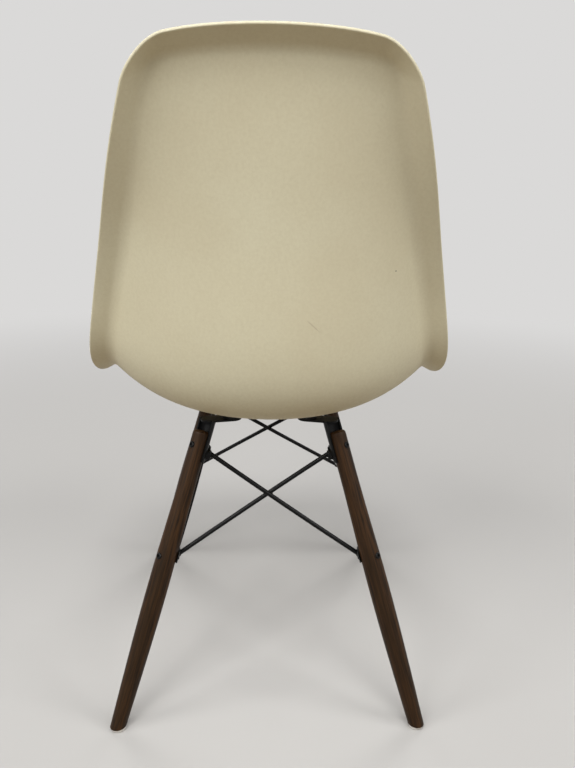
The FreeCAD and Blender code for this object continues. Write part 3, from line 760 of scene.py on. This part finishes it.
def make_floor():
    """Round pale floor that takes the chair's shadow and fades into the backdrop's colour.

    From below it is clear, so that the chair's underside can be looked at.
    """
    around = round_turn(floor_points_around)
    points = np.stack([np.cos(around), np.sin(around), 0 * around], 1) * floor_radius
    mesh = bpy.data.meshes.new("studio_floor")
    mesh.from_pydata(points.tolist(), [], [list(range(floor_points_around))])
    floor = add_object("studio_floor", mesh)
    material, tree, shader = new_material("studio_floor")
    seen = seen_directly(tree)
    place = add_node(tree, "ShaderNodeTexCoord").outputs["Object"]
    far = add_node(tree, "ShaderNodeVectorMath", {0: place}, operation="LENGTH").outputs["Value"]
    fade = add_node(tree, "ShaderNodeMapRange", {"Value": far, "From Min": fade_from, "From Max": fade_to},
                    interpolation_type="SMOOTHSTEP").outputs[0]
    shown = add_node(tree, "ShaderNodeMath", {0: fade, 1: seen}, operation="MULTIPLY").outputs[0]
    colour = add_node(tree, "ShaderNodeMix",
                      {SHARE: seen, FIRST: linear(floor_for_light), SECOND: linear(floor_seen)},
                      data_type="RGBA").outputs[MIXED]
    set_shader(tree, shader, Base_Color=colour, Roughness=0.9)
    glow = add_node(tree, "ShaderNodeEmission", {"Color": linear(backdrop)})
    faded = add_node(tree, "ShaderNodeMixShader", {0: shown, 1: shader.outputs[0], 2: glow.outputs[0]})
    below = add_node(tree, "ShaderNodeNewGeometry").outputs["Backfacing"]
    clear = add_node(tree, "ShaderNodeBsdfTransparent")
    both = add_node(tree, "ShaderNodeMixShader", {0: below, 1: faded.outputs[0], 2: clear.outputs[0]})
    tree.links.new(both.outputs[0], tree.nodes["Material Output"].inputs["Surface"])
    give(floor, material)


def make_world():
    """Pale even surroundings: a dim grey that lights, and the backdrop that is seen."""
    world = bpy.data.worlds.new("studio_world")
    bpy.context.scene.world = world
    world.use_nodes = True
    tree = world.node_tree
    colour = add_node(tree, "ShaderNodeMix",
                      {SHARE: seen_directly(tree), FIRST: linear(surroundings), SECOND: linear(backdrop)},
                      data_type="RGBA").outputs[MIXED]
    tree.links.new(colour, tree.nodes["Background"].inputs["Color"])


def make_lamp(name, place, target, size, power):
    """Square soft lamp that points from its place to a target, in metres and watts."""
    lamp = bpy.data.lights.new(name, "AREA")
    lamp.shape = "SQUARE"
    lamp.size = size
    lamp.energy = power
    holder = add_object(name, lamp)
    holder.location = place
    holder.rotation_euler = (Vector(target) - Vector(place)).to_track_quat("-Z", "Y").to_euler()


def make_lamps():
    """Five lamps above and behind the chair, which is the side that the camera sees, and two in front."""
    make_lamp("key", (1.41, 2.11, 2.27), rear_target, rear_lamp_size, 38)
    make_lamp("overhead", (0.0, 1.37, 3.27), rear_target, rear_lamp_size, 47)
    make_lamp("left_side", (2.31, 0.94, 2.27), rear_target, rear_lamp_size, 32)
    make_lamp("right_side", (-2.31, 0.94, 2.27), rear_target, rear_lamp_size, 34)
    make_lamp("rear_fill", (-1.41, 2.11, 2.27), rear_target, rear_lamp_size, 20)
    make_lamp("front_fill_left", (1.4, -2.4, 2.2), front_target, front_lamp_size, 28)
    make_lamp("front_fill_right", (-1.4, -2.4, 2.2), front_target, front_lamp_size, 32)


def make_camera():
    """Camera at the photograph's place, turned from level by its roll about the direction of view."""
    lens = bpy.data.cameras.new("photo_camera")
    lens.sensor_width = sensor_width
    lens.lens = focal_pixels / photo_height * sensor_width
    camera = add_object("photo_camera", lens)
    forward = Vector(camera_forward).normalized()
    level_right = forward.cross(Vector((0, 0, 1))).normalized()
    level_down = forward.cross(level_right)
    right = level_right * math.cos(camera_roll) + level_down * math.sin(camera_roll)
    down = level_down * math.cos(camera_roll) - level_right * math.sin(camera_roll)
    turn = Matrix((right, -down, -forward)).transposed().to_4x4()
    place = Vector(camera_place) + Vector((0, base_y * MM, 0))
    camera.matrix_world = Matrix.Translation(place) @ turn
    bpy.context.scene.camera = camera


finish_all(make_shell(), make_welds(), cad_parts)
make_floor()
make_world()
make_lamps()
make_camera()
bpy.context.scene.view_settings.view_transform = "Standard"
